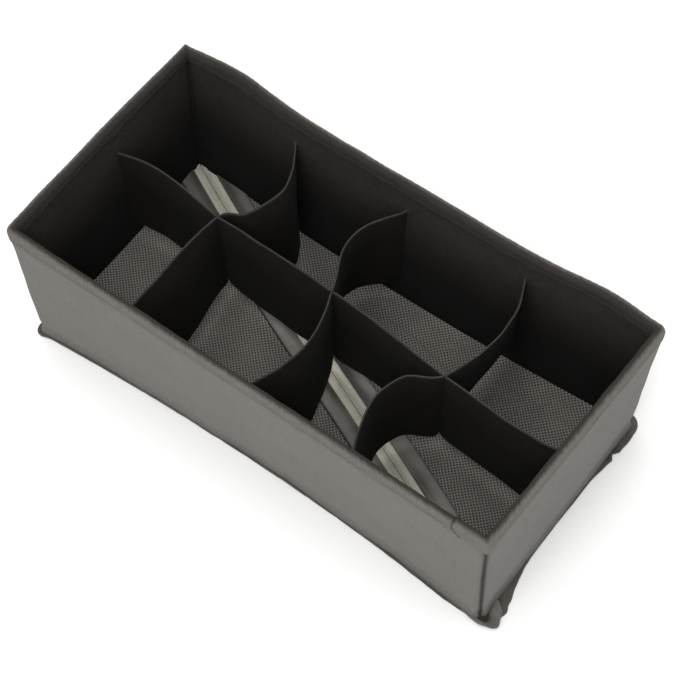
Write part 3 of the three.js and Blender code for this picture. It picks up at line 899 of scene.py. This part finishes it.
def crease(points, start, end, width, depth):
    """A soft fold in the floor along a line from start to end."""
    a, b = np.array(start, float), np.array(end, float)
    along = (b - a) / np.linalg.norm(b - a)
    t = (points - a) @ along
    away = (points - a) @ np.array([-along[1], along[0]])
    length = np.linalg.norm(b - a)
    return depth * bump(away, 0, width) * smooth(-6, 8, t) * smooth(length + 6, length - 8, t)


def floor_height(plan):
    """How far the floor cloth stands above or below its seat, from its real place in the box."""
    zip_away = np.abs(plan @ ZIP_V)
    wave = 0.8 * rough(plan, 38, 71) + 0.5 * rough(plan * np.array([0.45, 1.0]), 12, 72)
    folds = crease(plan, (4, 62), (74, 46), 2.6, -1.8) + crease(plan, (10, 53), (70, 37), 2.2, -1.2)
    folds += crease(plan, (16, 57), (66, 45), 2.8, 1.1)
    folds += crease(plan, (100, 40), (150, 30), 3.0, -1.0) + crease(plan, (-70, -30), (-30, -66), 3.2, -1.0)
    folds += crease(plan, (-150, -20), (-110, -60), 3.0, -0.8)
    folds += crease(plan, (100, -60), (150, -30), 3.5, -0.9)
    sag = -0.8 * smooth(20, 55, zip_away)
    settled = smooth(14, 26, zip_away) * smooth(0, 8, HINGE_X + 0.6 - np.abs(plan[..., 0]))
    settled = settled * smooth(0, 8, HINGE_Y + 0.6 - np.abs(plan[..., 1]))
    return np.clip(wave + folds + sag, -3.2, 1.2) * settled


def floor_sheet(side, part, grid, thick, material, tone=None, name=None):
    """A sheet of one floor part, in place of the CAD part of the same kind."""
    half_turn = FLOOR_PARTS[side][2]
    obj = sheet_object((name or part) + "_" + side, grid, thick, material, tone=tone, half_turn=half_turn)
    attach(obj, side + "_floor")
    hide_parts(side + "_" + part)
    return obj


def floor_panel(side):
    """A floor part's waffle cloth, from the walls to the zip."""
    offsets = np.concatenate([np.linspace(ZIP_OPENING, 24, 8), np.linspace(26, APEX_V - 0.4, 52)])
    plan, real = floor_band(side, offsets, 110)
    grid = raised(plan, FLOOR_Z + floor_height(real))
    obj = floor_sheet(side, "floor_panel", grid, FLOOR_THICK, FLOOR, name="floor")


def facing_swell(real, share):
    """How far the facing stands up at a share of its width, and its waves."""
    waves = 0.55 * rough(real, 30, 81) + 0.25 * rough(real, 11, 82)
    return 0.75 * np.sin(np.pi * share) ** 0.7, waves * np.sin(np.pi * share)


def facing(side):
    """The plain strip that covers the zip tape's outer part, with painted shadow in a dark line along its
    far edge, where it is sewn, and painted shade where it rolls down by the zip.
    """
    offsets = np.linspace(ZIP_OPENING, FACING_TO, 24)
    plan, real = floor_band(side, offsets, 90)
    share = (offsets - ZIP_OPENING) / (FACING_TO - ZIP_OPENING)
    lift, waves = facing_swell(real, share)
    lift = lift - 0.9 * smooth(0.96, 1.0, share) - 0.7 * smooth(0.05, 0.0, share)
    # painted shadow at the far edge, painted shade near the zip edge, and uneven darkening at random
    tone = smooth(0.90, 0.93, share)[None, :] + 0.55 * bump(share, 0.18, 0.26)[None, :]
    tone = np.clip(tone + 0.3 * rough(real, 24, 83) * smooth(0.95, 0.85, share)[None, :], 0, 1)
    grid = raised(plan, FACING_Z + lift[None, :] + waves)
    obj = floor_sheet(side, "zip_facing", grid, FACING_THICK, FACING, tone)


def zip_tape(side):
    """Half of the zip's tape, with a swollen edge over its coil."""
    offsets = np.concatenate([np.linspace(TAPE_FROM, 4.2, 22), np.linspace(4.6, TAPE_TO, 16)])
    plan, real = floor_band(side, offsets, 90)
    swell = 1.1 * np.sqrt(np.clip(1 - ((offsets - 1.5) / 1.6) ** 2, 0, 1))
    swell = swell - 0.3 * bump(offsets, 1.4, 0.25)
    waves = 0.3 * rough(real, 26, 85) * smooth(3, 6, offsets)[None, :] * smooth(13, 9, offsets)[None, :]
    heights = TAPE_Z + swell[None, :] + 0.25 * smooth(3.5, 6.5, offsets)[None, :] + waves
    # darker in the groove over the coil, and painted shade along the inner edge, in the gap between the two
    # tapes
    tone = np.clip(0.75 * bump(offsets, 1.4, 0.28) + 0.8 * smooth(0.6, 0.35, offsets), 0, 1)
    tone = np.broadcast_to(tone, heights.shape)
    grid = raised(plan, heights)
    obj = floor_sheet(side, "zip_tape", grid, TAPE_THICK, TAPE, tone)


COIL_PITCH = 1.3
COIL_WIRE = 0.3  # radius of the coil's nylon wire
COIL_AWAY, COIL_SWING = 1.55, 1.2  # the coil's middle line from the zip's, and its swing to each side
COIL_END = 26.8  # the coil stops short of each zip end by this, where the metal stops are


def zip_coil(side):
    """One side's nylon spiral under its tape, as a continuous flattened helix."""
    first, last, half_turn = FLOOR_PARTS[side]
    start, end = max(first, -ZIP_HALF + COIL_END), min(last, ZIP_HALF - COIL_END)
    apex_share = 1.7 / APEX_V
    if first > -ZIP_HALF:  # short of the crease, which slants away from the zip
        start += (APEX_U - first) * apex_share + COIL_WIRE
    else:
        end += (APEX_U - last) * apex_share - COIL_WIRE
    t = np.arange(0, (end - start) / COIL_PITCH, 1 / 12)
    angle = 2 * math.pi * t
    across = COIL_AWAY + COIL_SWING * np.cos(angle)
    height = (COIL_LOW + COIL_HIGH) / 2 + (COIL_HIGH - COIL_LOW - 2 * COIL_WIRE) / 2 * np.sin(angle)
    along = start + t * COIL_PITCH + 0.25 * COIL_PITCH * np.sin(angle)
    plan = along[:, None] * ZIP_U + across[:, None] * ZIP_V
    line = np.column_stack([plan, height])
    obj = tubes_object("zip_coil_" + side, [line], COIL_WIRE, COIL, sides=5, half_turn=half_turn)
    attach(obj, side + "_floor")
    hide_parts(side + "_zip_coil")


def floor_stitches(side):
    """The row of stitches along the facing's far edge."""
    offset = FACING_TO - 1.5
    plan, real = (points[:, 0] for points in floor_band(side, [offset], 80))
    lift, waves = facing_swell(real, (offset - ZIP_OPENING) / (FACING_TO - ZIP_OPENING))
    line = np.column_stack([plan, FACING_HIGH + lift + 0.02 + waves])
    stitches = stitch_lines(line, *FACING_STITCH)
    name, half_turn = "facing_stitches_" + side, FLOOR_PARTS[side][2]
    obj = tubes_object(name, stitches, THREAD_R, THREAD_TAUPE, half_turn=half_turn)
    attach(obj, side + "_floor")


def polish_metal(node):
    """A CAD node of the zip's metal: rounded edges and a plated finish."""
    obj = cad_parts[node]
    obj.data.materials.clear()
    obj.data.materials.append(METAL)
    ease = obj.modifiers.new("eased_edges", "BEVEL")
    ease.width, ease.segments, ease.limit_method = 0.16 * MM, 3, "ANGLE"


def build_floor():
    for side in FLOOR_PARTS:
        floor_panel(side)
        facing(side)
        zip_tape(side)
        zip_coil(side)
        floor_stitches(side)
    for node in ("zip_slider", "zip_pull", "zip_top_stop_front", "zip_top_stop_right", "zip_bottom_stop"):
        polish_metal(node)


# ---- dividers
SLIT_HALF = 0.8  # half the width of the slit at a crossing


def crossing_parameter(route, other):
    """Parameter from 0 to 1 where a route crosses another."""
    fine = np.linspace(0, 1, 801)
    a, b = spline(route, fine), spline(other, fine)
    gap = np.linalg.norm(a[:, None] - b[None, :], axis=2)
    return fine[np.unravel_index(gap.argmin(), gap.shape)[0]]


def divider_grid(route, lean, crossings, columns, rows_z, slit_low, slit_high, seed):
    """Grid of a hanging divider, and which of its cells are there: each crossing is slit."""
    base = np.linspace(0, 1, columns)
    run = lengths(spline(route, np.linspace(0, 1, 400)))[-1]
    edge = SLIT_HALF / run
    cuts = np.array([c + side * edge for c in crossings for side in (-1, 1)])
    base = base[[np.abs(cuts - b).min() > 0.35 / columns for b in base]]
    parameters = np.sort(np.concatenate([base, cuts]))
    line = spline(route, parameters)
    z = np.array(rows_z)
    grid = lift_grid(line, z)
    hang = np.clip((DIVIDER_HIGH - z) / (DIVIDER_HIGH - DIVIDER_LOW), 0, 1)
    grid[..., :2] += spline(lean, parameters)[:, None, :] * hang[None, :, None]
    middle = (parameters[:-1] + parameters[1:]) / 2
    level = (z[:-1] + z[1:]) / 2
    keep = np.ones((len(middle), len(level)), bool)
    for c in crossings:
        inside = np.abs(middle - c) < edge * 0.99
        keep[np.ix_(inside, (level > slit_low) & (level < slit_high))] = False
    ends = smooth(0, 0.04, parameters) * smooth(1, 0.96, parameters)
    for c in crossings:
        ends = ends * (1 - bump(parameters, c, 0.03))
    sway = (0.9 * rough(grid, 45, seed) + 0.3 * rough(grid, 13, seed + 1)) * ends[:, None]
    grid[..., :2] += plan_normals(line)[:, None, :] * sway[..., None]
    return grid, keep, parameters, run


def divider_edges(grid, parameters, crossings, top_ends, seed):
    """Bends the top and bottom edges: up or down where sewn to the wall, notched where slit."""
    z = grid[..., 2]
    share = (z - DIVIDER_LOW) / (DIVIDER_HIGH - DIVIDER_LOW)
    first, last = top_ends
    top = first * bump(parameters, 0, 0.09) + last * bump(parameters, 1, 0.09)
    top = top + 0.5 * rough(grid[:, -1], 22, seed + 2)
    bottom = 0.7 * rough(grid[:, 0], 25, seed + 3)
    for c in crossings:
        bottom = bottom + 4.0 * bump(parameters, c, 0.006)
        top = top - 0.8 * bump(parameters, c, 0.01)
    return z + top[:, None] * smooth(0.5, 1, share) + bottom[:, None] * smooth(0.25, 0, share)


def divider(name, node, body, route, lean, crossings, slit, top_ends, seed, columns):
    """One divider, half-lapped with those that it crosses."""
    middle = (DIVIDER_LOW + DIVIDER_HIGH) / 2
    lower, upper = np.linspace(DIVIDER_LOW + 3, middle, 12), np.linspace(middle, DIVIDER_HIGH - 3, 13)
    foot, brim = DIVIDER_LOW + np.array([0, 0.7]), DIVIDER_HIGH - np.array([1.4, 0.7, 0])
    rows = np.concatenate([foot, lower, upper[1:], brim])
    span = (0, middle) if slit == "below" else (middle, TOP)
    grid, keep, parameters, run = divider_grid(route, lean, crossings, columns, rows, *span, seed)
    z = grid[..., 2].copy()
    grid[..., 2] = divider_edges(grid, parameters, crossings, top_ends, seed)
    # painted light: a painted highlight along the top edge, a fainter one along the bottom edge, and lighter
    # towards the top
    tone = smooth(DIVIDER_HIGH - 1.6, DIVIDER_HIGH - 0.5, z)
    tone = tone + 0.25 * smooth(DIVIDER_LOW + 1.2, DIVIDER_LOW, z)
    tone = np.clip(tone + 0.12 * smooth(60, 92, z), 0, 1)
    thick = np.full(z.shape, DIVIDER_THICK)
    thick[:, [0, -1]] = 0.5 * DIVIDER_THICK
    obj = sheet_object(name, grid, thick, DIVIDER, keep=keep, tone=tone)
    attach(obj, body)
    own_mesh(obj)
    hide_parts(node)


TACK_REACH, TACK_PITCH = 1.6, 0.9  # half the length of a bar tack's threads, and their spacing


def tack_threads():
    """Bar tacks at the top of each cross divider's ends, on the walls that they are sewn to."""
    for side, route in CROSS_ROUTES.items():
        for wall, end, sign in (("back", route[0], 1), ("front", route[-1], -1)):
            run = np.linspace(-TACK_REACH, TACK_REACH, 7)
            y = sign * (RIM_Y - LINING_TO - 0.2 - 0.7 * np.cos(run / TACK_REACH * math.pi / 2))
            heights = [DIVIDER_HIGH + 0.8 - TACK_PITCH * k for k in range(3)]
            lines = [np.column_stack([end[0] + run, y, z + 0.15 * run]) for z in heights]
            obj = tubes_object(f"tack_{side}_{wall}", lines, 0.25, THREAD_DARK)
            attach(obj, wall + "_wall")


def build_dividers():
    crossings = [crossing_parameter(LONG_ROUTE, route) for route in CROSS_ROUTES.values()]
    divider("long_divider_cloth", "long_divider", "long_divider", LONG_ROUTE, LONG_LEAN, crossings, "above",
            (-1.5, 3.0), 91, 150)
    for number, (side, route) in enumerate(CROSS_ROUTES.items()):
        crossing = [crossing_parameter(route, LONG_ROUTE)]
        rise = (1.0, 0.5) if side != "right" else (4.0, 1.0)
        divider(f"{side}_divider_cloth", f"{side}_cross_divider", f"{side}_divider", route,
                CROSS_LEANS[side], crossing, "below", rise, 101 + 7 * number, 80)
    tack_threads()


# ---- studio
def camera():
    """The photograph's viewpoint: a distance in metres and small slides across the view."""
    azimuth, elevation, roll = (math.radians(a) for a in (39.51, 60.87, -3.227))
    distance, slide_right, slide_up = 1.1671, 0.00651, -0.00655
    away = math.cos(elevation)
    back = Vector((math.sin(azimuth) * away, -math.cos(azimuth) * away, math.sin(elevation)))
    level = (-back).cross(Vector((0, 0, 1))).normalized()
    upright = level.cross(-back)
    right = math.cos(roll) * level + math.sin(roll) * upright
    up = -math.sin(roll) * level + math.cos(roll) * upright
    target = Vector((0, 0, TOP * MM / 2))
    place = target + back * distance + right * slide_right + up * slide_up
    data = bpy.data.cameras.new("camera")
    data.sensor_width, data.lens = 36.0, 100.43
    obj = bpy.data.objects.new("camera", data)
    obj.matrix_world = Matrix.Translation(place) @ Matrix((right, up, back)).transposed().to_4x4()
    bpy.context.scene.collection.objects.link(obj)
    bpy.context.scene.camera = obj


def studio():
    """A white room with two soft lights and a pale floor."""
    scene = bpy.context.scene
    scene.view_settings.view_transform = "Standard"
    scene.world = bpy.data.worlds.new("white_room")
    scene.world.use_nodes = True
    background = scene.world.node_tree.nodes["Background"].inputs
    background["Color"].default_value = (1.0, 0.995, 0.985, 1)
    background["Strength"].default_value = 0.75
    for name, place, size, power in (
        ("key_light", (0.35, -0.9, 1.7), 1.2, 16.0),
        ("top_light", (-0.2, 0.1, 2.0), 1.6, 14.0),
    ):
        data = bpy.data.lights.new(name, "AREA")
        data.shape, data.size, data.energy = "DISK", size, power
        light = bpy.data.objects.new(name, data)
        light.location = place
        light.rotation_mode = "QUATERNION"
        light.rotation_quaternion = (-Vector(place)).to_track_quat("-Z", "Y")
        scene.collection.objects.link(light)
    half = 3.0
    mesh = bpy.data.meshes.new("studio_floor")
    corners = [(-half, -half, 0), (half, -half, 0), (half, half, 0), (-half, half, 0)]
    mesh.from_pydata(corners, [], [(0, 1, 2, 3)])
    ground = bpy.data.objects.new("studio_floor", mesh)
    scene.collection.objects.link(ground)
    paper = Shader("pale_paper", 0.9)
    tint = paper.scaled(rgb(1.0, 1.0, 1.0), paper.plus(0.94, paper.cloud(60, 3), 0.02))
    ground.data.materials.append(paper.finish(tint, paper.cloud(1.5), 0.02))


camera()
studio()
build_walls()
build_floor()
build_dividers()
